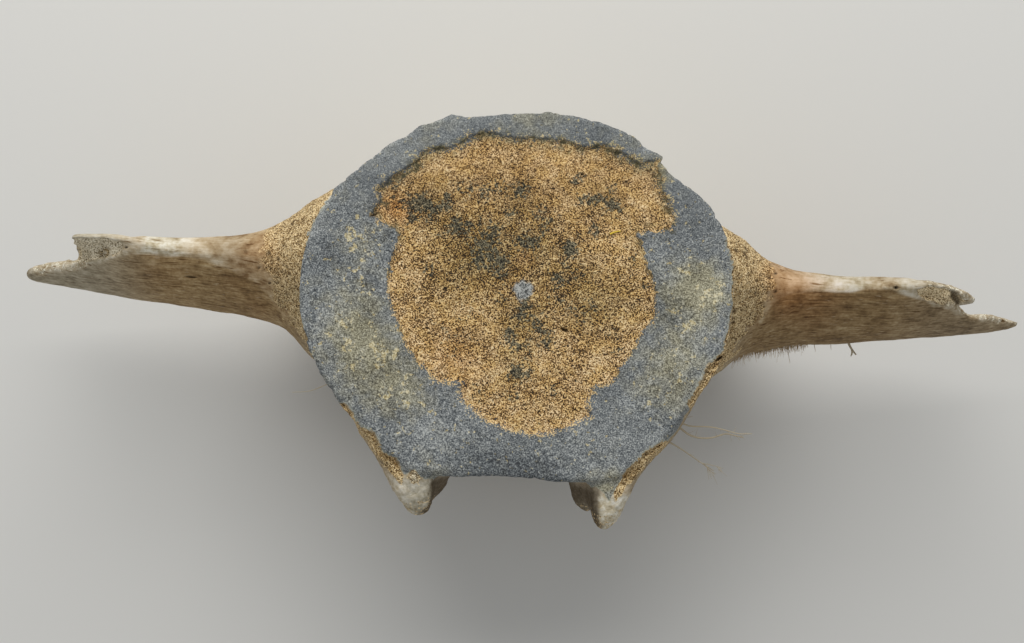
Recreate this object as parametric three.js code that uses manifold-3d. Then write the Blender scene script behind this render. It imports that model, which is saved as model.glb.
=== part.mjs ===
// A weathered lumbar vertebra of a large baleen whale, lying on its tail-side face with the head-side
// face up. Millimetres. The origin is where the axis of the notochord meets the tail-side face. +Z runs
// along that axis towards the head, +X towards the animal's right and +Y towards its belly, so that the
// two stumps of the neural arch point along -Y.
//
// The bone is shaped whole and then parted by thin cuts into the pieces that have names: the body of the
// centrum, its two end plates, the two transverse processes and the two pedicles of the neural arch.

import * as THREE from "three";
import { mergeVertices } from "three/addons/utils/BufferGeometryUtils.js";
import Module from "manifold-3d";

const wasm = await Module();
wasm.setup();

// ---------- driving dimensions ----------

const CENTRUM_LENGTH = 200;
const END_PLATE_THICKNESS = 9;
const CUT = 0.3; // width of the cuts between the named pieces
const RIM_ROUNDING = 4; // how far the edge of an end face is rounded off
const RIM_PROFILE = [[1, 0], [0.3, 0.3]]; // its inset and its depth below the face, as shares of that
const RIM_FLARE = 3.2; // the higher, the more the waist keeps to the middle of the length
const RECESS_DEPTH = 2.5; // the middle of the head-side face is worn down by this much
const RECESS_SLOPE = 2; // width of the step round it
const FLOOR_RINGS = 3; // rings between that step and the middle of its uneven floor

const AROUND = 84; // corners of each ring of the centrum
const ALONG = 10; // steps between its two rims
const TAU = 2 * Math.PI;
const SLAB_SIDE = 1000;
const BEYOND = 10; // how far the outer slabs reach past the end faces

// Distance from the notochord's axis every 15 degrees, anticlockwise from +X seen from the head.
const CRANIAL_RIM = [
  137.5, 139, 131.5, 123, 122.5, 119, 115.5, 117, 123, 127, 134, 142,
  144, 145, 140, 136, 137.5, 126.5, 122, 126.5, 136, 134, 131, 137,
];
const CAUDAL_RIM = [
  136, 136, 133, 129, 125, 122, 121, 122, 125, 129, 133, 137,
  139, 139, 137, 135, 133, 125, 121, 124, 131, 132, 132, 134,
];
const RECESS = [
  86, 84, 100, 115, 114, 104, 98, 99, 103, 108, 104, 90,
  86, 84, 82, 80, 72, 78, 87, 93, 91, 81, 83, 85,
];
// Dips and rises of the worn floor inside it: x, y, radius and height.
const FLOOR_SWELLS = [
  [-28, 26, 30, -1.2], [4, -22, 22, -0.9], [-68, 52, 20, -0.9], [46, 62, 20, -0.9],
  [-34, 84, 26, 0.9], [16, 84, 18, 0.8], [62, 12, 24, 0.8], [48, -46, 22, 0.9],
  [-54, -38, 28, 0.9], [-66, 2, 20, 0.6], [4, -76, 18, 0.6],
];
// Share of the radius that the waist loses halfway along, every 30 degrees. A keel runs along the belly
// side, and the flanks between the processes and the pedicles bulge instead.
const WAIST = [0.1, 0.13, 0.16, 0.12, 0.16, 0.13, 0.1, 0.0, -0.05, 0.04, -0.05, -0.05];

// ---------- interpolation ----------

function catmullRom([before, from, to, after], f) {
  const slope = (to - before) / 2;
  const nextSlope = (after - from) / 2;
  const rise = to - from;
  return (
    from +
    slope * f +
    (3 * rise - 2 * slope - nextSlope) * f * f +
    (slope + nextSlope - 2 * rise) * f * f * f
  );
}

// A value from a list that is spread evenly round a full turn.
function aroundRing(values, angle) {
  const n = values.length;
  const place = ((((angle / TAU) % 1) + 1) % 1) * n;
  const i = Math.floor(place);
  return catmullRom([-1, 0, 1, 2].map((k) => values[(i + k + n) % n]), place - i);
}

// The numbers of a row of stations, read off smoothly at a fractional place along the row.
function alongStations(stations, place) {
  const last = stations.length - 1;
  const i = Math.min(Math.floor(place), last - 1);
  const near = [-1, 0, 1, 2].map((k) => stations[THREE.MathUtils.clamp(i + k, 0, last)]);
  const made = {};
  for (const key of Object.keys(stations[0])) {
    made[key] = catmullRom(near.map((s) => s[key]), place - i);
  }
  return made;
}

// ---------- solids ----------

// A closed body through rings of equal count, each end closed by a fan round the ring's middle.
function loft(rings) {
  const count = rings[0].length;
  const middle = (ring) =>
    ring.reduce((sum, p) => sum.add(p), new THREE.Vector3()).divideScalar(count);
  const points = [...rings.flat(), middle(rings[0]), middle(rings.at(-1))];
  const faces = [];
  for (let r = 0; r < rings.length - 1; r++) {
    for (let i = 0; i < count; i++) {
      const a = r * count + i;
      const b = r * count + ((i + 1) % count);
      faces.push(a, b, b + count, a, b + count, a + count);
    }
  }
  const top = (rings.length - 1) * count;
  for (let i = 0; i < count; i++) {
    const next = (i + 1) % count;
    faces.push(next, i, points.length - 2);
    faces.push(top + i, top + next, points.length - 1);
  }
  const geometry = new THREE.BufferGeometry().setFromPoints(points);
  geometry.setIndex(faces);
  return geometry;
}

function solidOf(geometry) {
  const bare = geometry.clone();
  bare.deleteAttribute("normal");
  bare.deleteAttribute("uv");
  const merged = mergeVertices(bare, 1e-4);
  const mesh = new wasm.Mesh({
    numProp: 3,
    vertProperties: merged.attributes.position.array,
    triVerts: new Uint32Array(merged.index.array),
  });
  const solid = new wasm.Manifold(mesh);
  if (solid.volume() >= 0) return solid;
  for (let i = 0; i < mesh.triVerts.length; i += 3) {
    mesh.triVerts.subarray(i, i + 3).reverse();
  }
  return new wasm.Manifold(mesh);
}

function geometryOf(solid) {
  const mesh = solid.getMesh();
  const geometry = new THREE.BufferGeometry();
  geometry.setAttribute("position", new THREE.BufferAttribute(mesh.vertProperties, 3));
  geometry.setIndex(new THREE.BufferAttribute(mesh.triVerts, 1));
  return geometry;
}

// ---------- centrum ----------

function centrumRadius(angle, share) {
  const rim = THREE.MathUtils.lerp(
    aroundRing(CAUDAL_RIM, angle),
    aroundRing(CRANIAL_RIM, angle),
    share,
  );
  const fullness = 1 - Math.abs(2 * share - 1) ** RIM_FLARE;
  return rim * (1 - aroundRing(WAIST, angle) * fullness);
}

function centrumRing(z, radiusAt) {
  return Array.from({ length: AROUND }, (_, i) => {
    const angle = (i / AROUND) * TAU;
    const r = radiusAt(angle);
    return new THREE.Vector3(r * Math.cos(angle), r * Math.sin(angle), z);
  });
}

// How far the worn floor of the head-side face rises at a place above its mean depth.
function floorSwell({ x, y }) {
  return FLOOR_SWELLS.reduce(
    (sum, [swellX, swellY, radius, height]) =>
      sum + height * Math.exp(-((x - swellX) ** 2 + (y - swellY) ** 2) / radius ** 2),
    0,
  );
}

// The whole centrum, or with grow above 0 the wider form that cuts what stands against it.
function centrum(grow) {
  const rings = [];
  const rimRing = (share, inset, z) =>
    rings.push(centrumRing(z, (a) => centrumRadius(a, share) - inset + grow));
  const top = CENTRUM_LENGTH;
  for (const [inset, depth] of RIM_PROFILE) {
    rimRing(0, inset * RIM_ROUNDING, depth * RIM_ROUNDING - grow);
  }
  for (let i = 0; i <= ALONG; i++) {
    const z = THREE.MathUtils.lerp(RIM_ROUNDING, top - RIM_ROUNDING, i / ALONG);
    rimRing(z / top, 0, z);
  }
  for (const [inset, depth] of RIM_PROFILE.toReversed()) {
    rimRing(1, inset * RIM_ROUNDING, top - depth * RIM_ROUNDING + grow);
  }
  if (grow === 0) {
    rings.push(centrumRing(top, (a) => aroundRing(RECESS, a)));
    for (let i = 0; i <= FLOOR_RINGS; i++) {
      const share = 1 - i / (FLOOR_RINGS + 1);
      const ring = centrumRing(
        top - RECESS_DEPTH,
        (a) => (aroundRing(RECESS, a) - RECESS_SLOPE) * share,
      );
      for (const point of ring) point.z += floorSwell(point);
      rings.push(ring);
    }
  }
  return solidOf(loft(rings));
}

// A slab between two heights that is wider than the whole bone.
function slab(low, high) {
  const box = new THREE.BoxGeometry(SLAB_SIDE, SLAB_SIDE, high - low);
  return solidOf(box.translate(0, 0, (low + high) / 2));
}

// ---------- transverse processes ----------

// The section of a process: how far forward in breadths, and how far towards the belly in
// thicknesses. The front edge is blunt, with a sharp ridge on its back side, and the rear edge thin.
const PROCESS_SECTION = [
  [0.47, 0.38], [0.5, 0.08], [0.14, -0.45], [-0.36, -0.42],
  [-0.5, -0.04], [-0.36, 0.32], [0, 0.48], [0.34, 0.52],
];
const SECTION_STEPS = 3; // corners for each point of a section
const PROCESS_RINGS = 26;
const PRONG_RINGS = 7;

// Stations from the middle of the bone outwards. x, y and z place the section's middle, and tilt is
// how many degrees its front edge turns towards the belly. As far as the break, the two processes
// differ only in y and thickness, given here for the left and the right one.
const PROCESS_ROOT = [
  { x: 94, z: 100, breadth: 156, tilt: 0, y: [0, 0], thickness: [106, 96] },
  { x: 109, z: 100, breadth: 168, tilt: 0, y: [0, 0], thickness: [120, 109] },
  { x: 126, z: 101, breadth: 174, tilt: 1, y: [-2, -2], thickness: [120, 104] },
  { x: 138, z: 102, breadth: 168, tilt: 3, y: [-4, -2], thickness: [104, 89] },
  { x: 148, z: 103, breadth: 150, tilt: 5, y: [-3.5, -1], thickness: [87, 69] },
  { x: 160, z: 105, breadth: 126, tilt: 8, y: [-1.5, -1.5], thickness: [64, 54] },
  { x: 174, z: 107, breadth: 110, tilt: 11, y: [-2.5, -2.5], thickness: [50, 44] },
  { x: 192, z: 109, breadth: 100, tilt: 13, y: [-3, -1.5], thickness: [41, 36] },
  { x: 218, z: 111, breadth: 95, tilt: 15, y: [-3, -1], thickness: [33, 31] },
  { x: 245, z: 113, breadth: 97, tilt: 15, y: [-2.5, 1.5], thickness: [28, 27] },
  { x: 262, z: 112, breadth: 96, tilt: 15, y: [-2.5, 2.5], thickness: [26.5, 25.5] },
];
const processRoot = (sideNumber) =>
  PROCESS_ROOT.map((s) => ({ ...s, y: s.y[sideNumber], thickness: s.thickness[sideNumber] }));
const LEFT_PROCESS = [
  ...processRoot(0),
  { x: 278, y: -4.5, z: 107, breadth: 82, thickness: 22, tilt: 13 },
  { x: 290, y: -6.5, z: 103, breadth: 66, thickness: 18, tilt: 12 },
  { x: 304, y: -7.5, z: 101, breadth: 50, thickness: 15.5, tilt: 10 },
  { x: 321, y: -8, z: 100, breadth: 34, thickness: 13, tilt: 8 },
  { x: 334, y: -9, z: 100, breadth: 18, thickness: 9, tilt: 6 },
  { x: 338.5, y: -9, z: 100, breadth: 7, thickness: 4, tilt: 6 },
];
const RIGHT_PROCESS = [
  ...processRoot(1),
  { x: 280, y: 0.5, z: 107, breadth: 76, thickness: 20, tilt: 13 },
  { x: 296, y: -2, z: 103, breadth: 58, thickness: 15, tilt: 12 },
  { x: 308, y: -3, z: 101, breadth: 44, thickness: 11.5, tilt: 10 },
  { x: 322, y: -3, z: 100, breadth: 32, thickness: 9, tilt: 8 },
  { x: 335, y: -1.5, z: 100, breadth: 17, thickness: 6, tilt: 6 },
  { x: 341, y: -0.5, z: 100, breadth: 6, thickness: 3, tilt: 6 },
];
// The belly-side shell of each broken end, which stands proud of the worn core.
const LEFT_LIP = [
  { x: 236, y: 6, z: 130, breadth: 60, thickness: 10, tilt: 9 },
  { x: 262, y: 11.5, z: 132, breadth: 58, thickness: 10.5, tilt: 9 },
  { x: 280, y: 12.5, z: 133, breadth: 50, thickness: 10, tilt: 9 },
  { x: 293, y: 12.6, z: 134, breadth: 40, thickness: 9.5, tilt: 9 },
  { x: 301, y: 13.6, z: 135, breadth: 28, thickness: 7, tilt: 9 },
];
const RIGHT_SPLINTER = [
  { x: 238, y: 10, z: 134, breadth: 56, thickness: 12, tilt: 12 },
  { x: 262, y: 13.6, z: 138, breadth: 46, thickness: 14, tilt: 12 },
  { x: 280, y: 14, z: 140, breadth: 33, thickness: 12, tilt: 12 },
  { x: 293, y: 13.9, z: 140, breadth: 21, thickness: 8.5, tilt: 12 },
  { x: 305, y: 13.6, z: 139, breadth: 6, thickness: 3, tilt: 12 },
];

// A blade along X through the stations. side is 1 on the right and -1 on the left.
function blade(stations, ringCount, side) {
  const rings = Array.from({ length: ringCount }, (_, i) => {
    const s = alongStations(stations, (i / (ringCount - 1)) * (stations.length - 1));
    const turn = THREE.MathUtils.degToRad(s.tilt);
    const outline = PROCESS_SECTION.map(([forward, up]) => {
      const u = forward * s.breadth;
      const v = up * s.thickness;
      return new THREE.Vector3(
        side * s.x,
        s.y + u * Math.sin(turn) + v * Math.cos(turn),
        s.z + u * Math.cos(turn) - v * Math.sin(turn),
      );
    });
    const curve = new THREE.CatmullRomCurve3(outline, true, "centripetal");
    return curve.getPoints(outline.length * SECTION_STEPS).slice(0, -1);
  });
  return solidOf(loft(rings));
}

// ---------- pedicles ----------

const PEDICLE_RINGS = 14;
// Stations from the front of a pedicle to its rear. tipX and tipY are where the broken edge is, inner
// and outer how far from the middle of the bone its two faces are at the height of the canal's floor.
const LEFT_PEDICLE = [
  { z: 195, tipX: 66, tipY: -129, blunt: 7, inner: 53, outer: 84 },
  { z: 190, tipX: 61, tipY: -144, blunt: 8, inner: 50, outer: 88 },
  { z: 178, tipX: 59, tipY: -151.5, blunt: 8.5, inner: 49, outer: 91 },
  { z: 160, tipX: 62, tipY: -147, blunt: 8, inner: 46, outer: 93 },
  { z: 142, tipX: 59, tipY: -140, blunt: 7, inner: 40, outer: 94 },
  { z: 120, tipX: 55, tipY: -146, blunt: 7, inner: 38.5, outer: 95 },
  { z: 98, tipX: 57, tipY: -139, blunt: 6, inner: 41, outer: 94 },
  { z: 76, tipX: 62, tipY: -131, blunt: 5, inner: 48, outer: 91 },
  { z: 58, tipX: 67, tipY: -123, blunt: 4, inner: 54, outer: 87 },
  { z: 44, tipX: 72, tipY: -110, blunt: 4, inner: 58, outer: 84 },
];
const RIGHT_PEDICLE = [
  { z: 195, tipX: 69, tipY: -131, blunt: 5, inner: 54, outer: 83 },
  { z: 190, tipX: 65, tipY: -146, blunt: 6.5, inner: 53, outer: 86 },
  { z: 178, tipX: 63.5, tipY: -153.5, blunt: 6.5, inner: 52, outer: 88 },
  { z: 162, tipX: 62, tipY: -147, blunt: 6, inner: 47, outer: 89 },
  { z: 144, tipX: 57, tipY: -139, blunt: 7, inner: 41, outer: 89 },
  { z: 122, tipX: 52, tipY: -145.5, blunt: 7, inner: 38.5, outer: 90 },
  { z: 100, tipX: 55, tipY: -138, blunt: 6, inner: 41, outer: 90 },
  { z: 78, tipX: 61, tipY: -129, blunt: 5, inner: 48, outer: 89 },
  { z: 60, tipX: 67, tipY: -122, blunt: 4, inner: 54, outer: 86 },
  { z: 46, tipX: 72, tipY: -110, blunt: 4, inner: 58, outer: 84 },
];
const CANAL_FLOOR = -118;
const PEDICLE_ROOT = -92; // how deep inside the centrum the pedicle begins
const FOOT_SPREAD = { outer: 11, inner: 6 }; // how much wider it is there
const SHOULDER = { inset: 4, height: 2 }; // where the outer face bends towards the broken edge
const BREAK_BEVEL = { outer: 5, inner: 4 }; // how far its two sides lie behind the broken edge
const FLOOR_BEND = 0.2; // share of the way to the edge at which the inner face bends

function pedicle(stations, side) {
  const rings = Array.from({ length: PEDICLE_RINGS }, (_, i) => {
    const s = alongStations(stations, (i / (PEDICLE_RINGS - 1)) * (stations.length - 1));
    const outline = [
      [s.outer + FOOT_SPREAD.outer, PEDICLE_ROOT],
      [s.outer - SHOULDER.inset, CANAL_FLOOR + SHOULDER.height],
      [s.tipX + s.blunt, s.tipY + BREAK_BEVEL.outer],
      [s.tipX, s.tipY],
      [s.tipX - s.blunt, s.tipY + BREAK_BEVEL.inner],
      [s.inner, THREE.MathUtils.lerp(CANAL_FLOOR, s.tipY, FLOOR_BEND)],
      [s.inner - FOOT_SPREAD.inner, PEDICLE_ROOT],
    ].map(([x, y]) => new THREE.Vector3(side * x, y, s.z));
    const curve = new THREE.CatmullRomCurve3(outline, true, "centripetal");
    return curve.getPoints(outline.length * SECTION_STEPS).slice(0, -1);
  });
  return solidOf(loft(rings));
}

// ---------- parting the bone ----------

const whole = centrum(0);
const clearOfCentrum = centrum(CUT);
const caudalCut = END_PLATE_THICKNESS;
const cranialCut = CENTRUM_LENGTH - END_PLATE_THICKNESS;
const leftProcess = blade(LEFT_PROCESS, PROCESS_RINGS, -1).add(
  blade(LEFT_LIP, PRONG_RINGS, -1),
);
const rightProcess = blade(RIGHT_PROCESS, PROCESS_RINGS, 1).add(
  blade(RIGHT_SPLINTER, PRONG_RINGS, 1),
);

const solids = {
  end_plate_caudal: whole.intersect(slab(-BEYOND, caudalCut - CUT / 2)),
  centrum_body: whole.intersect(slab(caudalCut + CUT / 2, cranialCut - CUT / 2)),
  end_plate_cranial: whole.intersect(slab(cranialCut + CUT / 2, CENTRUM_LENGTH + BEYOND)),
  transverse_process_left: leftProcess.subtract(clearOfCentrum),
  transverse_process_right: rightProcess.subtract(clearOfCentrum),
  pedicle_left: pedicle(LEFT_PEDICLE, -1).subtract(clearOfCentrum),
  pedicle_right: pedicle(RIGHT_PEDICLE, 1).subtract(clearOfCentrum),
};

// ---------- materials ----------

const bone = (color) => new THREE.MeshStandardMaterial({ color, roughness: 0.9, metalness: 0 });
const materials = {
  end_plate_caudal: bone("#8b8a80"),
  centrum_body: bone("#a9977a"),
  end_plate_cranial: bone("#7c7f7c"),
  transverse_process_left: bone("#a08c6c"),
  transverse_process_right: bone("#a08c6c"),
  pedicle_left: bone("#a39b88"),
  pedicle_right: bone("#a39b88"),
};

const vertebra = new THREE.Group();
vertebra.name = "whale_vertebra";
for (const [name, solid] of Object.entries(solids)) {
  const mesh = new THREE.Mesh(geometryOf(solid), materials[name]);
  mesh.name = name;
  vertebra.add(mesh);
}

export default vertebra;
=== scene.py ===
"""A weathered whale vertebra, dressed over its CAD solids.

One unbroken skin of bone covers all the solids. It is worked out in millimetres, in the frame
of the solids: +X towards the animal's right, +Y towards its belly and +Z towards its head. The
bone lies on its tail-side face, and the camera looks down on its head-side face.
"""

import itertools
import math

import bmesh
import bpy
import numpy as np
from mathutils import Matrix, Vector


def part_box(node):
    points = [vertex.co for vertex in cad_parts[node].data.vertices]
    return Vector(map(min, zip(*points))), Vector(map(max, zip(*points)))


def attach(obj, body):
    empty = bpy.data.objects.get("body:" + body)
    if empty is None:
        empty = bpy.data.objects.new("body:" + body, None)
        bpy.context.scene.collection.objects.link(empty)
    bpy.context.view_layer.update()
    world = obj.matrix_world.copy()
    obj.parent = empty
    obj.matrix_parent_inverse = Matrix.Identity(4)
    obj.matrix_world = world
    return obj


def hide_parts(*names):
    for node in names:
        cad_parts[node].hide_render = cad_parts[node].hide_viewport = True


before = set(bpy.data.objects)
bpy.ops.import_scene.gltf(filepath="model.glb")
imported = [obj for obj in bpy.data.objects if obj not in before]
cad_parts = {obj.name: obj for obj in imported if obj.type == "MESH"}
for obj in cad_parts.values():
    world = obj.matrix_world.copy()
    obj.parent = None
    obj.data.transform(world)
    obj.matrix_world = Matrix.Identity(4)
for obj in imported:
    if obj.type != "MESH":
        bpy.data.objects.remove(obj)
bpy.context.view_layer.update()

# ---------- driving dimensions, in millimetres ----------

MM = 0.001
TAU = 2 * math.pi
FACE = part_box("end_plate_cranial")[1].z / MM  # height of the head-side face
LIFT = 0.05  # the skin stays this far above the floor
FACE_LOW = FACE - 12  # above this lies the head-side face with its rim
REAR_HIGH = 12  # and below this the tail-side face
PROCESS_START = (138, 158)  # distance from the midline at which the processes leave the centrum
STUMP_START = (-118, -130)  # y at which the stumps of the arch leave it
STUMP_REACH = 110  # the stumps lie within this distance from the midline
FINEST = 1.2
VOXEL = FINEST
RIM_STEPS = 84  # corners round the rim of an end plate

CAMERA_HEIGHT = 1800
OPTICAL_AXIS = (-5.15, -20.65)
CAMERA_TURN = math.radians(3.6)
VIEW_WIDTH = 659.5  # what the camera sees from side to side at the height of the face

CORE_DEPTH = 2.4  # the worn core of the head-side face lies this much lower
STRIP_DEPTH = 2  # and the bared strips outside the grey plate this much

# Edge of the worn core of the head-side face: angle in degrees and distance from the notochord.
CORE_EDGE = [
    (1, 87), (9, 84.5), (15, 82), (23, 82), (29, 83), (25, 104), (29, 109), (35, 111),
    (40, 112), (43, 118), (47, 118.5), (50, 112), (53, 110.5), (58, 109), (64, 107.5),
    (69, 102), (78, 100), (91, 98.5), (100, 100), (106, 105), (111, 105.5), (119, 103),
    (124, 107), (130, 110), (134, 107), (141, 111), (148, 113.5), (151, 108), (157, 109),
    (158, 96), (157, 89), (162, 86), (172, 87), (181, 86.5), (190, 85.5), (198, 82.5),
    (209, 83), (219, 81.5), (231, 80), (240, 72), (244, 80), (252, 84), (260, 88), (266, 90),
    (274, 92), (282, 94.5), (292, 93), (302, 93), (304, 84), (311, 77.5), (316, 82),
    (320, 83), (328, 81), (336, 82), (343, 82), (350, 86), (353, 87.5),
]
# Edge of the grey plate of that face. Where it lies past the rim, the plate reaches the rim.
PLATE_EDGE = [
    (0, 136.2), (8, 137), (13, 137), (19, 136.5), (24, 150), (156, 150), (160, 140.7),
    (165, 143), (169, 144), (173, 144.5), (178, 145), (184, 143), (189, 145.6),
    (193, 144.1), (198, 150), (213, 150), (216, 135.8), (222, 135.3), (229, 133.9),
    (233, 136.5), (237, 137.3), (241, 141), (245, 138.4), (249, 150), (292, 150),
    (301, 137.4), (306, 133.2), (310, 130.5), (317, 133.5), (320, 150), (326, 150),
    (329, 129.1), (335, 129.4), (341, 129.5), (347, 135.8), (351, 134.3), (354, 135.2),
]
PLUG_RADIUS = 6.5  # the pale spot where the notochord ran

# The ridge along the front edge of each process, which parts its bleached side from its brown
# underside: x and y. Above it the side is painted partly paler as lit, below it partly browner
# as shaded.
LEFT_RIDGE = [
    (-340, -8), (-307, -6.2), (-294, -2.4), (-288.6, -0.5), (-277.5, 2.6), (-268.4, 5.4),
    (-260.6, 7.2), (-248.9, 8.3), (-221, 8.3), (-209.4, 6.9), (-198.6, 4.5), (-189, -0.8),
    (-178.4, -5.9), (-168.7, -12.6), (-157, -29), (-135, -50),
]
RIGHT_RIDGE = [
    (135, -40), (160.6, -11.2), (163.7, -2.4), (170.7, 6.8), (182.9, 10.1), (195.2, 10.3),
    (207.7, 12.2), (224.9, 14.2), (243.5, 15.1), (253.6, 12.6), (265.1, 9.6), (276.6, 6.6),
    (288.1, 4.2), (300.8, 1.3), (313.3, 0.2), (340, -3),
]
DULL_BAND = (15, 3.5, -194, 17)  # a duller patch above the left ridge: as in the stains below
# How far the front of each process is bleached: x and share.
BLEACH = [
    (-340, 0.5), (-300, 0.6), (-262, 0.5), (-256, 0.4), (-250, 1), (-232, 1), (-220, 0.4),
    (-204, 0.3), (-194, 0.25), (-182, 0.2), (-165, 0.1), (-150, 0), (150, 0), (170, 0.15),
    (182, 0.4), (192, 0.75), (202, 1), (222, 1), (232, 0.55), (245, 0.5), (254, 0.8), (264, 0.7),
    (290, 0.55), (340, 0.5),
]
# Where the open spongy bone shows on the processes: at their roots, in the hollows of their broken
# ends and along the edges of the breaks. Each pair is of the left outline and the right one.
ROOTS = [
    [(-130, 60), (-145, 51), (-156.5, 39), (-165, 31), (-171, 24.7), (-175, 16.9), (-171.3, 6.6),
     (-169.1, -3.8), (-162.3, -17), (-152.2, -32.9), (-143.8, -47), (-124, -62), (-118, 0)],
    [(128, 54), (140, 48), (146, 46.5), (157, 37), (160.8, 26.3), (163, 14.3), (161, -0.9),
     (155.6, -11.8), (150.3, -24.2), (140.9, -37), (126, -54), (115, 0)],
]
CAVITIES = [
    [(-308, 15.8), (-293, 16.8), (-277.8, 16.8), (-267, 15.6), (-265, 12), (-268, 7.5), (-278, 4),
     (-292.2, 1.5), (-306, 1.5)],
    [(260, 17), (268, 20.5), (281, 20), (292, 14), (298, 10), (288, 8), (280, 7.5), (272, 9.5),
     (262, 12.5)],
]
LEDGES = [
    [(-334, -4), (-322.1, 2.5), (-312.5, 3), (-303.4, 6), (-293, 3), (-292, -1.5), (-300, -4.6),
     (-315, -7), (-330, -9)],
    [(266, 26), (278, 26), (292, 22), (304, 18), (310, 12.5), (301, 9), (290, 10), (300, 6.5),
     (318, 5), (340, 3), (341, -1.5), (322, -0.8), (305, 1.4), (290, 5), (280, 9), (266, 18)],
]
# Where the bone is drawn a little aside: x, y, radius and the move along x and y.
GRABS = [
    (-295, 6.5, 7, -4, 0), (300.5, 10.5, 6, -2.8, -0.3), (303, 5.5, 7, -1, -3), (322, 2, 8, 0, 1.3),
]
KNOB = (-61.6, -124)  # a spongy lump of the head-side edge, at the left stump
# Small lumps of that edge: radius, height in tenths, x and y.
LUMPS = [(4.5, 26, *KNOB), (9, 18, 147, 43), (8, 10, -147, 52)]
# Broad dips and rises of the worn core, the same as on its solid: radius, height in tenths, and
# then x and y of each.
FLOOR_SWELLS = [
    (18, 6, 4, -76), (18, 8, 16, 84), (20, -9, -68, 52, 46, 62), (20, 6, -66, 2), (22, -9, 4, -22),
    (22, 9, 48, -46), (24, 8, 62, 12), (26, 9, -34, 84), (28, 9, -54, -38), (30, -12, -28, 26),
]
# Angles of the sharp nicks between the small lobes of the rim, in degrees.
NICKS = [
    16.7, 18.7, 24.2, 29.7, 35.9, 42.9, 46.6, 53.8, 59.1, 70.6, 84, 97, 112, 126.4, 130.3,
    139.6, 141.7, 147.6, 151.8, 157, 158.4, 197, 203, 211, 219, 227, 236, 248, 262, 277,
    292, 304, 311, 318, 326, 333, 341,
]
# Bumps and dents of the head-side rim: angle, half width in degrees and height.
RIM_BUMPS = [
    (29, 4, 1.7), (40, 3.5, -1.8), (58, 5, 1.8), (70, 3, 1), (84.5, 2.5, 2), (105, 6, -1),
    (115.5, 3, 2.6), (125.5, 2, 2), (137, 4, 0.8), (150, 4, 1), (155.5, 2, 1.8),
]
RIM_CORNER = (46.5, 53, 4)  # a sharp corner: the angle of its steep side, where it ends, height
# Where strips of spongy bone show beside the plate, as angles.
STRIPS = [(208, 243), (296, 338)]
STRIP_WIDTH = 9

# Each row of stains is a radius and a strength in tenths, and then x and y of each stain.
# Dark growth on the worn core, and its pale patches.
DARK_STAINS = [
    (3, 5, -52, 58), (3, 6, 74, 37), (3, 7, 54, 68), (4, 4, -30, 42, 50, 53, -55, 32),
    (4, 5, -87, 55, -58, 48, 27, 19, 79, 8), (4, 6, -86, 61, -38, 39, 70, 25),
    (4, 8, 34, 60, 40, 61), (4, 9, 46, 62, 53, 59, 58, 57), (5, 3, -58, -23, -31, -34, -40, -44),
    (5, 4, -60, 12, -63, 6, -41, 10, 16, -13, 42, -17, 25, -5, -48, -32),
    (5, 5, -45, 62, -11, 49, 14, 45, 12, 38, 37, 12, -14, -7, 17, -28, 32, -11, -23, -66, 25, -63,
     60, -25, 65, -35),
    (5, 6, -62, 42, -38, 64, -29, 16, 7, -54), (5, 7, -4, -36),
    (5, 8, -77, 51, -53, 52, -74, 42, -20, 39, 31, 73, 45, 41, 2, -10, 10, -22, -7, -28),
    (5, 9, 0, -18), (5, 10, -70, 53, -64, 51), (6, 3, -39, -19), (6, 5, 9, 49, 20, -34, -1, -69),
    (6, 6, -80, 69, -28, 60, -20, 66, -3, 32, 6, -38, 46, -7), (6, 8, 5, 31, 24, 8),
    (6, 10, -46, 39, -5, 64, -1, -53), (6, 12, 29, 29), (9, 9, -15, 15), (10, 9, -26, 27),
]
PALE_STAINS = [
    (6, 4, 38, 90), (6, 5, 44, -49), (6, 6, -24, -56), (8, 4, -20, 89, -75, -5, -74, -18),
    (8, 6, -40, 78, -56, -55), (8, 8, 53, -45), (8, 10, -38, -54), (9, 4, 29, -76),
    (9, 5, -73, -43), (9, 7, 49, 77, 72, 59), (9, 10, -60, 75), (12, 5, 13, 81),
    (30, 3.5, -14, -58),
]
# Cream mottles on the grey plate.
CREAM_MOTTLES = [
    (3, 4, -116, -1), (3, 5, 80, -61), (4, 4, -110, -13, -129, -44, 88, -38),
    (4, 5, -51, -84, 92, 36), (4, 6, -60, -75, 87, -69), (4, 7, 99, -30),
    (4, 8, -78, -45, -39, -72), (5, 4, -106, -55, 111, -38), (5, 5, -106, 8, -103, -6, 96, -62),
    (5, 6, -98, 18, -101, -21, -71, -77), (5, 7, -106, 43, -111, 19), (5, 8, -88, -51, 108, -16),
    (5, 9, -115, -30), (5, 10, -102, 27, -86, -76), (6, 4, 107, 16, 114, 12, 129, 2, 118, -2),
    (6, 5, -77, -73, 100, 24), (6, 6, -86, -45), (6, 8, -108, -44, -95, -41, -72, -63),
    (6, 10, -113, 28), (7, 7, 107, -53), (8, 4, 122, 8),
]
# Broad zones of the grey plate that are paler and yellower.
WARM_ZONES = [
    (10, 7, 84, 82), (14, 2, -120, 60), (14, 3, -50, -122), (14, 7, 62, -124),
    (16, 3.5, -105, 25, 94, 4), (16, 4, 110, 14), (16, 10, 118, 6), (18, 2.5, 60, 98),
    (20, 2.5, -70, 98), (20, 4.5, 105, -25), (22, 4, -110, -15), (22, 5.5, -75, -70),
    (24, 6, 98, -52), (26, 4, 0, 108), (28, 7.5, -100, -45),
]
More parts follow.
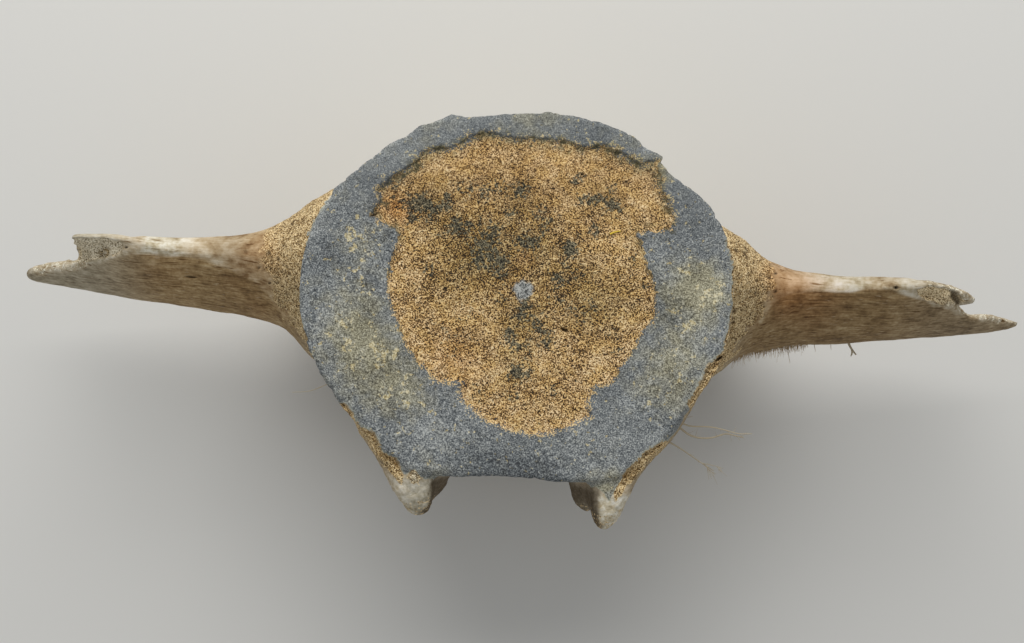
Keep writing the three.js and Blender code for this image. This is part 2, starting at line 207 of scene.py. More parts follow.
# Broad zones of the core that are darker and more olive.
OLIVE_ZONES = [
    (10, 3, 74, 34), (14, 2, -34, -32), (14, 3.5, -2, -50), (14, 4, -6, 58), (16, 3.5, 50, 60),
    (16, 4, 44, -14), (18, 4.5, 36, 8), (18, 7, 2, -18), (20, 3.5, -48, 2), (20, 4, 62, -2),
    (22, 5, -60, 50), (22, 6, 8, 28), (24, 8, -28, 22),
]
# Dull dark zones of the grey plate and, with a strength below 0, its paler ones.
MURKY_ZONES = [
    (12, -6, 64, -118), (13, 7, 98, -4), (14, -18, 121, 6), (14, 5, 40, 110), (16, 5, -40, 112),
    (16, 8, -126, 20), (16, 9, 108, 48), (18, -8, -52, -102), (18, -3, -112, -60),
    (20, -5, 70, -94), (20, 3, 0, 108), (20, 5, -108, 62), (24, 8, 86, 62), (26, 15, 6, -114),
]
# Orange tints on the core, the roots of the processes and their undersides.
RUST_STAINS = [
    (6, 8, 0, 22), (8, 7, -80, 45), (9, 5, -182, 10), (9, 9, -88, 50), (10, 2.5, -247, -2),
    (10, 4, -166, 4, 190, 16, -176, -22), (10, 5, -172, 18), (12, 2, -230, -2), (12, 3, -190, -6),
    (12, 5, 196, -4), (12, 9, 168, 22, 174, 2), (14, 6, 205, 10), (15, 10, 182, 12),
    (16, 5, -40, -45),
]
# Holes and slits seen from the front: x, y, length, width, turn in degrees and depth.
HOLES = [
    (34, 77, 3.2, 2.2, 45, 2.5), (63, 74, 2.4, 2, 0, 2), (29, -24, 8, 3, -25, 3.5),
    (6.6, -74, 10, 1.3, 15, 1.2), (-99, 42, 8, 1.8, 20, 2.5), (246.6, 17.5, 3.8, 3, 0, 4),
    (-221, -4.3, 12, 1.8, -3, 2.5), (289, 14, 18, 6, -42, 4.2), (-263, 12.3, 3, 2.4, 0, 3),
    (145.6, 36, 9, 1.8, 125, 2.5), (166.5, 21.8, 4, 2.6, 10, 2), (166.9, 9.8, 3, 2.4, 0, 2),
    (-183.7, 14.4, 3, 2, 0, 1.6), (-174.4, 4.3, 3.4, 2.2, 60, 2), (-167.2, -5.2, 3, 2, 0, 1.6),
    (130, -36, 10, 2.4, 35, 3),
]

# Heights of the grooves where the end plates fused with the body, each with its own seed.
GROOVES = [(FACE - 19, 51), (21, 52)]
# Blood vessel holes of the centrum: x, z, and whether on its belly side (1) or in the canal (-1).
VESSELS = [(-13, 108, 1), (11, 96, 1), (-9, 104, -1), (12, 98, -1)]

# Fine roots that cling to the bone: the radius of each where it begins, and its path as x, y, z.
ROOTLETS = [
    (0.65, [(94, -76, 172), (110, -80, 170), (115.5, -82.2, 168), (129, -81.4, 165),
        (140, -83.3, 162), (148, -85.4, 160), (158, -84.8, 157)]),
    (0.85, [(100, -77, 168), (109, -83.2, 166), (118, -89.4, 163), (131, -89.6, 160),
        (140, -85.4, 158), (146, -86.6, 157), (152.6, -87.7, 156)]),
    (0.7, [(95, -86, 165), (102.5, -93, 163), (110, -96.7, 160), (116.6, -100.6, 156),
        (126.5, -106.7, 150), (135.2, -111.5, 145)]),
    (0.3, [(126.5, -106.7, 150), (134, -107.6, 148), (141.3, -109.5, 147)]),
    (0.3, [(128.9, -108.2, 149), (133, -111.5, 147), (136.4, -114, 146)]),
    (0.3, [(104, -77, 172), (112, -76.6, 170), (117, -75.3, 170)]),
    (0.4, [(-117, -66, 165), (-123.8, -69.5, 163), (-132.4, -73.7, 160), (-137, -75.4, 158),
        (-147.4, -76.5, 155)]),
    (1.3, [(226, -12, 80), (228.2, -20, 78), (230.4, -24.3, 77), (234.6, -28.7, 76)]),
    (0.9, [(231.5, -25.5, 77), (231.8, -28, 76), (231.2, -30, 75)]),
]
# Dry fibres under the right process: single ones as x, z and length, and the fringe beside them.
FIBRES = [(185.6, 80, 12), (204.6, 80, 5), (216, 80, 4), (193, 79, 5), (178, 80, 7)]
FRINGE_SPAN, FRINGE_COUNT = (149, 200), 600
GRASS = [(54.4, 39.6), (57.5, 41.2), (61.3, 42)]  # a dry yellow bit of grass on the core
HAIRS = 6  # fine side hairs on each rootlet
HAIR_RADIUS, FIBRE_RADIUS, FRINGE_RADIUS, GRASS_RADIUS = 0.16, 0.26, 0.13, 0.75
STRAND_SIDES = 5
STRAND_TAPER = 0.35  # how thick a strand ends, as a share of how it begins

BUMP_STRENGTH, BUMP_HEIGHT = 0.6, 0.6  # share and millimetres, of the finest grain
KEY_SIZE, KEY_POWER = 1.6, 36  # the lamp, in metres and watts
KEY_PLACE, KEY_TARGET = (-0.2, 1.5, 1.5), (0, 0, 0.15)


# ---------- fields ----------


def rise(low, high, value):
    """Rises smoothly from 0 at low to 1 at high."""
    share = np.clip((value - low) / (high - low), 0, 1)
    return share * share * (3 - 2 * share)


def scatter(corner, seed):
    """An even spread of numbers from 0 to 1, one for each corner of a lattice."""
    x, y, z = (corner.astype(np.int64).T + 100003).astype(np.uint64)
    mixed = (x * 374761393 + y * 668265263 + z * 2246822519 + seed * 3266489917) & 0xFFFFFFFF
    mixed = ((mixed ^ (mixed >> 15)) * 1274126177) & 0xFFFFFFFF
    mixed = ((mixed ^ (mixed >> 13)) * 2654435761) & 0xFFFFFFFF
    return (mixed ^ (mixed >> 16)) / 0xFFFFFFFF


def noise(points, size, seed, octaves=1):
    """Smooth noise from -1 to 1, whose swells are about size millimetres wide."""
    total, most = np.zeros(len(points)), 0
    for octave in range(octaves):
        place = points / size * 2**octave
        corner = np.floor(place)
        share = place - corner
        share = share * share * (3 - 2 * share)
        value = np.zeros(len(points))
        for step in itertools.product((0, 1), repeat=3):
            weight = np.prod(np.where(step, share, 1 - share), axis=1)
            value += weight * scatter(corner + step, seed + 7 * octave)
        total += (2 * value - 1) / 2**octave
        most += 1 / 2**octave
    return total / most


def cells(points, size, seed):
    """Distance to the nearest of many scattered middles, as a share of size, their spacing."""
    place = points / size
    corner = np.floor(place)
    nearest = np.full(len(points), 9.0)
    for step in itertools.product((-1, 0, 1), repeat=3):
        cell = corner + step
        middle = cell + np.stack([scatter(cell, seed + axis) for axis in range(3)], 1)
        nearest = np.minimum(nearest, ((middle - place) ** 2).sum(1))
    return np.sqrt(nearest)


def ring_points(polar):
    """The corners of an outline given as angles in degrees and distances."""
    angle, away = np.radians([a for a, _ in polar]), np.array([d for _, d in polar])
    return np.stack([away * np.cos(angle), away * np.sin(angle)], 1)


def depth_inside(outline, x, y):
    """How far each place lies inside a closed outline, and below 0 how far outside."""
    nearest, inside = np.full(x.shape, np.inf), np.zeros(x.shape, bool)
    for (ax, ay), (bx, by) in zip(outline, np.roll(outline, -1, 0)):
        along = ((x - ax) * (bx - ax) + (y - ay) * (by - ay)) / ((bx - ax) ** 2 + (by - ay) ** 2)
        along = np.clip(along, 0, 1)
        gap = (x - ax - along * (bx - ax)) ** 2 + (y - ay - along * (by - ay)) ** 2
        nearest = np.minimum(nearest, gap)
        if ay != by:
            inside ^= ((ay > y) != (by > y)) & (x < ax + (y - ay) * (bx - ax) / (by - ay))
    return np.where(inside, 1, -1) * np.sqrt(nearest)


def reach(polar, angle):
    """How far an outline given as angles in degrees and distances reaches at each angle."""
    turn, away = zip(*polar)
    return np.interp(np.degrees(angle), turn, away, period=360)


def spots(rows, x, y):
    """Soft round marks. A row is a radius, a strength in tenths, and then x and y of each mark."""
    total = np.zeros(x.shape)
    for radius, strength, *places in rows:
        for mark_x, mark_y in zip(places[::2], places[1::2]):
            total += 0.1 * strength * np.exp(-((x - mark_x) ** 2 + (y - mark_y) ** 2) / radius**2)
    return total


def slot_shape(hole, x, y):
    """1 in the middle of a hole or slit, falling to 0 at its edge."""
    hole_x, hole_y, length, width, turn, _ = hole
    c, s = math.cos(math.radians(turn)), math.sin(math.radians(turn))
    along, across = (x - hole_x) * c + (y - hole_y) * s, (y - hole_y) * c - (x - hole_x) * s
    return 1 - rise(0.2, 1, np.hypot(along / (length / 2), across / (width / 2)))


def lobes(angle, nicks, seed):
    """Height of the small lobes of a rim, whose sharp nicks lie at the given angles."""
    nicks = np.radians(np.sort(nicks))
    around = angle % TAU
    lobe = np.searchsorted(nicks, around) % len(nicks)
    start, end = nicks[lobe - 1], nicks[lobe]
    width = (end - start) % TAU
    along = ((around - start) % TAU) / width
    vary = 0.2 + 1.4 * scatter(np.stack([lobe, 0 * lobe, 0 * lobe], 1), seed)
    return (np.clip(4 * along * (1 - along), 0, 1) ** 0.3 - 0.8) * np.minimum(width, 0.16) * vary


def rim_bumps(angle):
    """How far the single bumps and dents of the head-side rim stand out."""
    turn = np.degrees(angle) % 360
    total = np.zeros(turn.shape)
    for middle, half_width, height in RIM_BUMPS:
        total += height * np.exp(-(((turn - middle) / half_width) ** 2))
    steep, end, height = RIM_CORNER
    return total + height * rise(steep - 0.4, steep + 0.4, turn) * rise(end, steep, turn)


# ---------- the skin ----------


def read(collection, name, width, kind=float):
    """A property of every item of a Blender collection, as an array."""
    values = np.empty(len(collection) * width, kind)
    collection.foreach_get(name, values)
    return values.reshape(-1, width)


def placed(name, data):
    """A new object in the scene."""
    item = bpy.data.objects.new(name, data)
    bpy.context.scene.collection.objects.link(item)
    return item


def joined_solids():
    """All the CAD solids as one mesh."""
    corners, triangles, count = [], [], 0
    for name in sorted(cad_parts):
        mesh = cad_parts[name].data
        mesh.calc_loop_triangles()
        corners.append(read(mesh.vertices, "co", 3))
        triangles.append(read(mesh.loop_triangles, "vertices", 3, int) + count)
        count += len(mesh.vertices)
    joined = bpy.data.meshes.new("joined_solids")
    joined.from_pydata(np.concatenate(corners).tolist(), [], np.concatenate(triangles).tolist())
    return joined


def fused(mesh):
    """The mesh made into one skin of small squares, which closes the cuts between the solids."""
    shown = placed("fused", mesh)
    remesh = shown.modifiers.new("remesh", "REMESH")
    remesh.mode = "VOXEL"
    remesh.voxel_size = VOXEL * MM
    graph = bpy.context.evaluated_depsgraph_get()
    skin = bpy.data.meshes.new_from_object(shown.evaluated_get(graph))
    bpy.data.objects.remove(shown)
    skin.name = "bone_skin"
    return skin


def smoothed(points, edges, strength, rounds):
    """The points drawn towards the middle of their neighbours, by a strength of up to 1 each."""
    first, second = np.concatenate([edges.T, edges.T[::-1]], 1)
    count = len(points)
    neighbours = np.bincount(first, minlength=count)[:, None]
    pull = 0.5 * np.broadcast_to(strength, (count,))[:, None]
    for _ in range(rounds):
        middle = np.stack([np.bincount(first, part[second], count) for part in points.T], 1)
        points = points + pull * (middle / neighbours - points)
    return points


def rim_radius(node, angle):
    """Radius of an end plate at each angle, read from the outermost corners of its solid."""
    corners = read(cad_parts[node].data.vertices, "co", 3) / MM
    step = np.round(np.arctan2(corners[:, 1], corners[:, 0]) / TAU * RIM_STEPS).astype(int)
    rim = np.zeros(RIM_STEPS)
    np.maximum.at(rim, step % RIM_STEPS, np.hypot(corners[:, 0], corners[:, 1]))
    return np.interp(angle % TAU, np.arange(RIM_STEPS + 1) / RIM_STEPS * TAU, [*rim, rim[0]])


def soften(mesh):
    """Rounds the steps of the remesh, and most of all the hollows where pieces join."""
    points = read(mesh.vertices, "co", 3) / MM
    edges = read(mesh.edges, "vertices", 2, int)
    scale = FINEST / VOXEL
    x, y, z = points.T
    away = np.abs(x)
    below_face = 1 - rise(FACE - 16, FACE - 6, z)
    root = rise(105, 125, away) * (1 - rise(160, 185, away)) * below_face
    stump = rise(-132, -122, y) * (1 - rise(-100, -88, y)) * below_face
    stump = stump * (1 - rise(95, 110, away))
    rim = rise(6, 2, np.minimum(z, FACE - z)) * rise(100, 110, np.hypot(x, y))
    points = smoothed(points, edges, 1 - 0.6 * rim, max(2, round(10 * scale)))
    points = smoothed(points, edges, np.maximum(root, 0.6 * stump), round(70 * scale**2))
    mesh.vertices.foreach_set("co", (points * MM).ravel())
    mesh.update()


def refine_face(mesh):
    """Halves the squares of the head-side face, which carries the finest relief."""
    work = bmesh.new()
    work.from_mesh(mesh)
    chosen = {
        edge
        for face in work.faces
        if face.normal.z > 0.2 and face.calc_center_median().z > FACE_LOW * MM
        for edge in face.edges
    }
    bmesh.ops.subdivide_edges(work, edges=list(chosen), cuts=1, use_grid_fill=True)
    work.to_mesh(mesh)
    work.free()
    mesh.update()


# ---------- unwrapping ----------

ATLAS_GAP = 4
CENTRUM_WRAP = 130  # radius at which the side of the centrum is unrolled
# The first chart of each kind: the flanks of the stumps, their ends, the front and rear of the
# processes, their long sides, and the side of the centrum. Charts 0 and 1 are the end faces.
FLANKS, ENDS, BROAD, LONG, ROLLED = 2, 6, 10, 14, 18


def unwrap(mesh):
    """Lays the skin out flat in charts: the two end faces, the side of the centrum unrolled, and
    each side of the processes and of the stumps."""
    points = read(mesh.vertices, "co", 3) / MM
    corner = read(mesh.loops, "vertex_index", 1, int)[:, 0]
    size = read(mesh.polygons, "loop_total", 1, int)[:, 0]
    face = np.repeat(np.arange(len(size)), size)
    x, y, z = (read(mesh.polygons, "center", 3) / MM).T
    normal_x, normal_y, normal_z = read(mesh.polygons, "normal", 3).T
    outer, stump = np.abs(x) > 150, (y < -122) & (np.abs(x) < STUMP_REACH)
    lengthwise, high, right = np.abs(normal_z) > 0.6, normal_z > 0, 2 * (x > 0)
    kind = np.select(
        [
            (lengthwise | (np.hypot(x, y) < 110)) & high & (z > FACE_LOW) & ~outer,
            lengthwise & (normal_z < 0) & (z < REAR_HIGH) & ~outer,
            stump & ~lengthwise,
            stump,
            (np.abs(x) > 100) & lengthwise,
            outer,
        ],
        [0, 1, FLANKS + (normal_x > 0) + right]
        + [ENDS + high + right, BROAD + high + right, LONG + (normal_y > 0) + right],
        ROLLED,
    )
    angle = np.arctan2(y, x)
    turn = np.arctan2(points[corner, 1], points[corner, 0]) - angle[face]
    turn = (turn + math.pi) % TAU - math.pi + angle[face]
    flat = points[corner][:, :2].copy()
    of_corner = kind[face]
    sideways = (of_corner >= FLANKS) & (of_corner < ENDS)
    level = (of_corner >= LONG) & (of_corner < ROLLED)
    rolled = of_corner == ROLLED
    flat[sideways] = points[corner[sideways]][:, (2, 1)]
    flat[level] = points[corner[level]][:, (0, 2)]
    flat[rolled] = np.stack([turn[rolled] * CENTRUM_WRAP, points[corner[rolled], 2]], 1)
    charts = []
    for number in range(ROLLED + 1):
        mine = of_corner == number
        if mine.any():
            low = flat[mine].min(0)
            flat[mine] -= low
            charts.append((number, *flat[mine].max(0)))
    row_width = TAU * CENTRUM_WRAP + 4 * ATLAS_GAP
    left = bottom = row_height = ATLAS_GAP
    for number, width, height in sorted(charts, key=lambda chart: -chart[2]):
        if left + width + ATLAS_GAP > row_width:
            left, bottom, row_height = ATLAS_GAP, bottom + row_height + ATLAS_GAP, 0
        flat[of_corner == number] += (left, bottom)
        left, row_height = left + width + ATLAS_GAP, max(row_height, height)
    atlas = max(row_width, bottom + row_height + ATLAS_GAP)
    mesh.uv_layers.new(name="OFBake").data.foreach_set("uv", (flat / atlas).ravel())


# ---------- relief ----------


def shape_bone(mesh):
    """Moves the skin's points into the relief of worn bone, and writes on each point what the
    material needs to know: how deep it lies in the core or the plate, how it is weathered, and
    where light and shade are painted on."""
    points = read(mesh.vertices, "co", 3) / MM
    normal = read(mesh.vertex_normals, "vector", 3)
    for grab_x, grab_y, radius, *move in GRABS:
        points[:, :2] += spots([(radius, 10, grab_x, grab_y)], *points.T[:2])[:, None] * move
    x, y, z = points.T  # these move with the points
    normal_x, normal_y, normal_z = normal.T
    out, angle = np.hypot(x, y), np.arctan2(y, x)
    away = np.abs(x)
    marks = {}

    def rough(size, seed, octaves=1):
        return noise(points, size, seed, octaves)

    # Where each point lies.
    rim_front = rim_radius("end_plate_cranial", angle)
    rim_rear = rim_radius("end_plate_caudal", angle)
    front = rise(0.3, 0.75, normal_z) * (z > FACE - 9) * (out < rim_front + 1)
    front = np.maximum(front, (z > FACE - 7) * (out < rim_front - 6))
    rear = rise(0.3, 0.75, -normal_z) * (z < 9)
    process = rise(*PROCESS_START, away)
    stump = rise(*STUMP_START, y) * (away < STUMP_REACH)
    side = (1 - front) * (1 - rear) * (1 - process) * (1 - stump)

    # The worn core and the grey plate, on both faces.
    top, base = z > FACE - 30, z < REAR_HIGH
    core = np.full(len(points), -40.0)
    core[top] = depth_inside(ring_points(CORE_EDGE), x[top], y[top])
    core[base] = 82 + 9 * np.sin(3 * angle[base] + 1) - out[base]
    plate = np.full(len(points), -40.0)
    toward_process = rise(105, 122, away)
    plate_reach = rim_front + 2.5 + 5 * toward_process
    plate[top] = (np.minimum(reach(PLATE_EDGE, angle), plate_reach) - out)[top]
    plate[top] += 1.8 * noise(points[top], 9, 13, 2)
    stump_crest = np.minimum(132 + y, 14) - np.maximum(2 * (x - 65), 0.9 * (65 - x))
    stump_crest += 2 * rough(4, 12, 2)
    plate[top] = np.maximum(plate, stump_crest)[top]
    plate = np.minimum(plate, z - FACE + 14 + 14 * toward_process * (x < 0) * top)
    plate[base] = np.minimum(rim_rear[base] + 4 - out[base], 9 - z[base])
    ragged = rough(4.5, 11, 2)
    worn = rise(-0.8, 1.6, core + 1.8 * ragged)
    bared = rise(0.2, -1.8, plate + 0.8 * ragged) * front

    # Open spongy bone: the roots of the processes, the strips beside the plate, the broken ends.
    facing_front = rise(-0.25, 0.2, normal_z)
    crumble = rough(5, 21, 2)
    root, hollow_end, ledge = (
        np.maximum(*(depth_inside(outline, x, y) for outline in pair))
        for pair in (ROOTS, CAVITIES, LEDGES)
    )
    root += 5 * crumble + 7 * rough(15, 24, 2) * (z < FACE - 22)
    root = rise(-3.5, 3.5, root) * rise(40, 80, z) * (plate < 0.5)
    hollow_end = rise(-0.6, 1.2, hollow_end + crumble) * (z > 85)
    ledge = rise(-1.5, 1, ledge + 1.5 * crumble) * (z > 60)
    root, hollow_end, ledge = (part * facing_front for part in (root, hollow_end, ledge))
    knob = spots([(3.2, 14, KNOB[0], 0.6 * KNOB[1])], x, 0.6 * y) * (z > FACE - 20)
    stump_edge = rise(-6, 0, -y - 142 + 3 * rough(9, 23))
    beside = out - reach(PLATE_EDGE, angle)
    turn = np.degrees(angle) % 360 + 4 * rough(12, 25, 2)
    strip = sum(rise(a, a + 4, turn) * rise(b, b - 4, turn) for a, b in STRIPS)
    strip *= rise(-1, 0.5, beside)
    strip *= rise(STRIP_WIDTH, STRIP_WIDTH - 3, beside + 2 * crumble)
    strip *= facing_front * rise(FACE - 48, FACE - 28, z + 10 * crumble)
    broken = [hollow_end, 0.42 * ledge, 0.35 * stump_edge * stump]
    sponge = np.clip(np.max([root, strip, bared, knob, *broken], 0), 0, 1)

    # Relief along the surface's own direction.
    across_grain = points * np.where(process[:, None] > 0.5, (0.16, 1, 1), (1, 1, 0.2))
    fibres = noise(across_grain, 2.6, 31, 2)
    swell = 0.7 * rough(38, 32) + 0.4 * rough(13, 33)
    open_bone = sponge > 0.02
    shaded_pit = np.zeros(len(points))
    crumbly = points[open_bone]
    small = 1 - rise(0.25, 0.5, cells(crumbly, 2.1, 41))
    small *= rise(-0.5, 0.2, noise(crumbly, 3, 42, 2))
    large = 1 - rise(0.12, 0.3, cells(crumbly, 8, 43) + 0.1 * noise(crumbly, 2, 45))
    large *= rise(-0.1, 0.3, noise(crumbly, 11, 44))
    shaded_pit[open_bone] = np.maximum(0.7 * small, large)
    shaded_pit *= sponge * (1 - np.maximum(0.65 * hollow_end, 0.4 * np.maximum(strip, knob)))
    height = (1 - front) * (1 - rear) * (swell + 0.28 * fibres + 0.12 * rough(2.4, 34))
    height += sponge * (0.7 * rough(5, 35, 2) - 1.2 * shaded_pit)
    height += ledge * (0.8 * rough(4, 37, 2) - 0.3)
    height += stump * (0.9 * rough(9, 38, 2) + 0.35 * rough(2.6, 39))
    height -= 2.4 * hollow_end * (1 + 0.7 * rough(6, 36))
    height += spots(LUMPS, x, y) * (z > 120)
    for level, seed in GROOVES:
        groove = (z - level - 2.5 * noise(points * (1, 1, 0), 17, seed)) / 1.1
        height -= side * 1.3 * np.exp(-(groove**2)) * rise(-0.5, 0.1, rough(24, 53))
    for hole_x, hole_z, belly in VESSELS:
        gap = np.hypot(x - hole_x, z - hole_z) + 40 * (y * belly < 60)
        height -= 5 * (1 - rise(1.6, 4.2, gap))
    points += normal * height[:, None]

    # The faces, as heights above the floor.
    on_face = front * rise(2, 7, rim_front - out)
    pebbles = np.zeros(len(points))
    facing = front > 0
    fine = points[facing]
    pebbles[facing] = 0.35 * noise(fine, 2.4, 61)
    pebbles[facing] -= 0.5 * rise(0.5, 0.2, cells(fine, 2.3, 62))
    level = FACE - CORE_DEPTH * worn + 0.3 * rough(30, 63) * (1 - worn)
    level += (1 - worn) * (0.22 * rough(7, 64) + 0.25 * pebbles)
    level += worn * (spots(FLOOR_SWELLS, x, y) + 0.4 * rough(15, 65))
    level += worn * (0.5 * rough(6, 66) + pebbles)
    upper, low = rise(10, 50, y), rise(-45, -70, y)
    off_edge = (core - 1.5 * upper + 5 * upper * rough(6, 68, 2)) / (1.4 + 2 * upper)
    edge_line = np.exp(-(off_edge**2))
    edge_line *= (0.5 + 0.5 * upper) * (1 - low) * rise(-0.2, 0.2, rough(3, 69, 2))
    level -= 0.45 * edge_line
    z += on_face * (level - z)
    z -= STRIP_DEPTH * bared + 1.2 * np.exp(-(((plate + 1.2) / 1.2) ** 2)) * bared
    rear_level = 1.8 * rise(-2, 4, core)
    rear_level += 0.5 * (1 + rough(9, 67, 2)) * rise(0, 6, core)
    z += rear * (z < 4) * rise(-3, 3, core) * rear_level

    # Lobes and nicks of the rims.
    rear_nicks = np.arange(0, 360, 11.3) + 3 * np.sin(np.arange(32) * 2.4)
    rims = (NICKS, rim_front, FACE - z, 71), (rear_nicks, rim_rear, z, 72)
    for nicks, rim, depth, seed in rims:
        near = rise(14, 2, rim - out) * rise(26, 8, depth) * (out < rim + 5)
        near *= 1 - rise(0.25, 0.6, root)
        bulge = 14 * lobes(angle + 0.012 * rough(5, 73), nicks, seed) + 0.5 * rough(4, 74, 2)
        bulge = near * (bulge + (rim_bumps(angle) if nicks is NICKS else 0))
        x += bulge * np.cos(angle)
        y += bulge * np.sin(angle)

    # Holes and slits.
    hollow = np.zeros(len(points))
    for hole in HOLES:
        inside = slot_shape(hole, x, y) * (normal_z > 0.05) * (z > 90)
        z -= hole[-1] * inside
        hollow = np.maximum(hollow, rise(0.1, 0.7, inside))

    marks["core"] = np.clip(core, -30, 30)
    marks["plate"] = np.clip(plate - 9 * knob, -20, 20)
    marks["sponge"] = sponge
    # Pores and holes, which the material paints darker as shaded.
    marks["shaded_pit"] = np.maximum(shaded_pit, hollow)
    # The line along the core's edge, strongest at the top, which the material darkens with painted
    # shadow and dark growth.
    marks["groove"] = np.clip(edge_line * front, 0, 1)
    marks["upper"] = rise(30, 75, y) * front
    marks["fray"] = np.maximum(rise(30, 75, y), low) * front
    for name, stains, where in (
        ("dark", DARK_STAINS, z > FACE_LOW),
        ("pale", PALE_STAINS, z > FACE_LOW),
        ("cream", CREAM_MOTTLES, z > FACE_LOW),
        ("rust", RUST_STAINS, z > 60),
        ("olive", OLIVE_ZONES, top),
        ("warm", WARM_ZONES, top),
        ("murk", MURKY_ZONES, top),
    ):
        marks[name] = spots(stains, x, y) * where
    marks["pale"] += hollow_end
    marks["process"] = process
    ridge = np.interp(x, *zip(*LEFT_RIDGE, *RIGHT_RIDGE))
    above = y - ridge + 2.5 * noise(points * (0.3, 1, 1), 5, 81, 2)
    # Painted light and shade: faces turned up towards the lamp take the paler bleached tones, faces
    # turned down the brown, partly the bone's own colour.
    lit_crown = rise(-0.3, 0.3, normal_y + 0.12 * rough(14, 82, 2))
    lit_crown += (rise(-1, 1.5, above) - lit_crown) * rise(95, 120, z) * process
    marks["lit_crown"] = np.max([lit_crown, stump, ledge], 0)
    bleach = np.interp(x + 6 * rough(9, 83, 2), *zip(*BLEACH))
    elsewhere = 0.45 + 0.5 * rough(34, 84, 2)
    # Painted light: the outer face of the right stump is painted whiter, as lit, and is kept out of
    # the painted shade below.
    lit_stump_face = rise(57, 60.5, x + 1.5 * rough(6, 87, 2)) * stump
    stump_end = np.maximum(rise(-130, -146, y), rise(-124, -132, y) * lit_stump_face)
    elsewhere += (1 - elsewhere) * stump * stump_end
    bleach += (elsewhere - bleach) * (1 - process * facing_front)
    marks["bleach"] = np.clip(bleach, 0, 1)
    tip = rise(235, 300, away)
    plain_side = (1 - process) * (1 - stump)
    outward = rise(-0.2, 0.5, normal_x * np.sign(x))
    # Grey on the stumps, less on faces turned outwards: painted light on their lit sides, painted
    # shade on their inner ones.
    stump_grey_and_shade = (0.9 - 0.5 * outward) * stump * (1 - lit_stump_face)
    tip_grey = np.where(x < 0, 0.75, 0.3) * tip * (1 - 0.7 * ledge)
    marks["worn_grey_and_shade"] = np.max([tip_grey, stump_grey_and_shade, 0.4 * plain_side], 0)
    # Painted shade: the stumps' inner faces, their faces turned to the floor and the right stump
    # beside its lit outer face are darkened as shaded. The right process and a band above the left
    # ridge are also made a little darker.
    inward = rise(0.1, -0.5, normal_x * np.sign(x)) * rise(0.75, 0.3, normal_z)
    behind = rise(0.5, -0.2, normal_z) * rise(150, 80, z)
    right_stump_shade = 0.75 * (x > 0) * (1 - lit_stump_face)
    soil_and_shade = stump * np.max([0.9 * inward, 0.5 * behind, right_stump_shade], 0)
    soil_and_shade += 0.2 * (x > 0) * process + spots([DULL_BAND], x, y) * process
    marks["shade_and_grime"] = np.clip(soil_and_shade, 0, 1)
    plug_edge = out - PLUG_RADIUS - 2.5 * rough(6, 85, 2) - 1.2 * rough(2.2, 86)
    marks["plug"] = rise(1.2, -1, plug_edge) * front
    end_ash = np.where(x < 0, 0.7, 0.2) * hollow_end
    ledge_ash = ledge * (1 - 0.8 * hollow_end * (x > 0))
    marks["ash"] = np.max([end_ash, ledge_ash, 0.5 * knob], 0)
    for name, values in marks.items():
        mesh.attributes.new(name, "FLOAT", "POINT").data.foreach_set("value", values)
    z[:] = np.maximum(z, LIFT)
    mesh.vertices.foreach_set("co", (points * MM).ravel())
    mesh.polygons.foreach_set("use_smooth", np.ones(len(mesh.polygons), bool))
    mesh.update()


# ---------- materials ----------


def linear(red, green, blue):
    """A colour given as it shows, from 0 to 255, in the linear values that Blender works in."""
    shown = np.array([red, green, blue]) / 255
    made = np.where(shown <= 0.04045, shown / 12.92, ((shown + 0.055) / 1.055) ** 2.4)
    return (*made, 1.0)


class Nodes:
    """Short calls for building a material out of nodes. Most return the socket that they make."""

    def __init__(self, name):
        self.material = bpy.data.materials.new(name)
        self.material.use_nodes = True
        self.tree = self.material.node_tree
        self.shader = self.tree.nodes["Principled BSDF"]
        self.place = self.new("TexCoord").outputs["Object"]

    def new(self, kind, *inputs, **settings):
        """A node with its first inputs fed in order, but for those given as None."""
        node = self.tree.nodes.new("ShaderNode" + kind)
        for name, value in settings.items():
            setattr(node, name, value)
        for socket, value in zip(node.inputs, inputs):
            if value is not None:
                self.feed(socket, value)
        return node

    def feed(self, socket, value):
        if isinstance(value, bpy.types.NodeSocket):
            self.tree.links.new(value, socket)
        else:
            socket.default_value = value

    def mark(self, name):
        """What shape_bone wrote on the points under this name."""
        return self.new("Attribute", attribute_name=name).outputs["Fac"]

    def scaled(self, value, factor, more=0.0):
        """value * factor + more."""
        return self.new("Math", value, factor, more, operation="MULTIPLY_ADD").outputs[0]

    def noise(self, size, detail=2.0, stretch=(1, 1, 1), shift=0.0):
        """Noise from 0 to 1 with swells about size millimetres wide."""
        scale = [part / (size * MM) for part in stretch]
        mapping = self.new("Mapping", self.place, (shift, shift, shift), None, scale)
        return self.new("TexNoise", mapping.outputs[0], None, 1, detail).outputs["Fac"]

    def step(self, value, low, high):
        """0 up to low and 1 from high on, with a smooth rise between them."""
        node = self.new("MapRange", value, low, high, interpolation_type="SMOOTHSTEP")
        return node.outputs["Result"]

    def ramp(self, value, *stops):
        """A colour for each value, from stops of a place and a red, green and blue."""
        node = self.new("ValToRGB", value)
        elements = node.color_ramp.elements
        while len(elements) < len(stops):
            elements.new(0.5)
        for element, (place, *colour) in zip(elements, stops):
            element.position = place
            element.color = linear(*colour)
        return node.outputs["Color"]

    def mix(self, share, first, second, blend="MIX"):
        """A colour between two others, by a share."""
        skipped = [None] * 5  # the inputs for numbers and vectors
        node = self.new("Mix", share, *skipped, first, second, data_type="RGBA", blend_type=blend)
        return node.outputs[2]

    def around(self, value, width):
        """A number round one half made into one round 0, spread over a width."""
        return self.scaled(value, width, -width / 2)

    def blend(self, share, first, second):
        """A number between two others, by a share."""
        return self.new("Mix", share, None, first, second).outputs[0]

    def total(self, *values):
        """The sum of several numbers."""
        made = values[0]
        for value in values[1:]:
            made = self.scaled(made, 1.0, value)
        return made


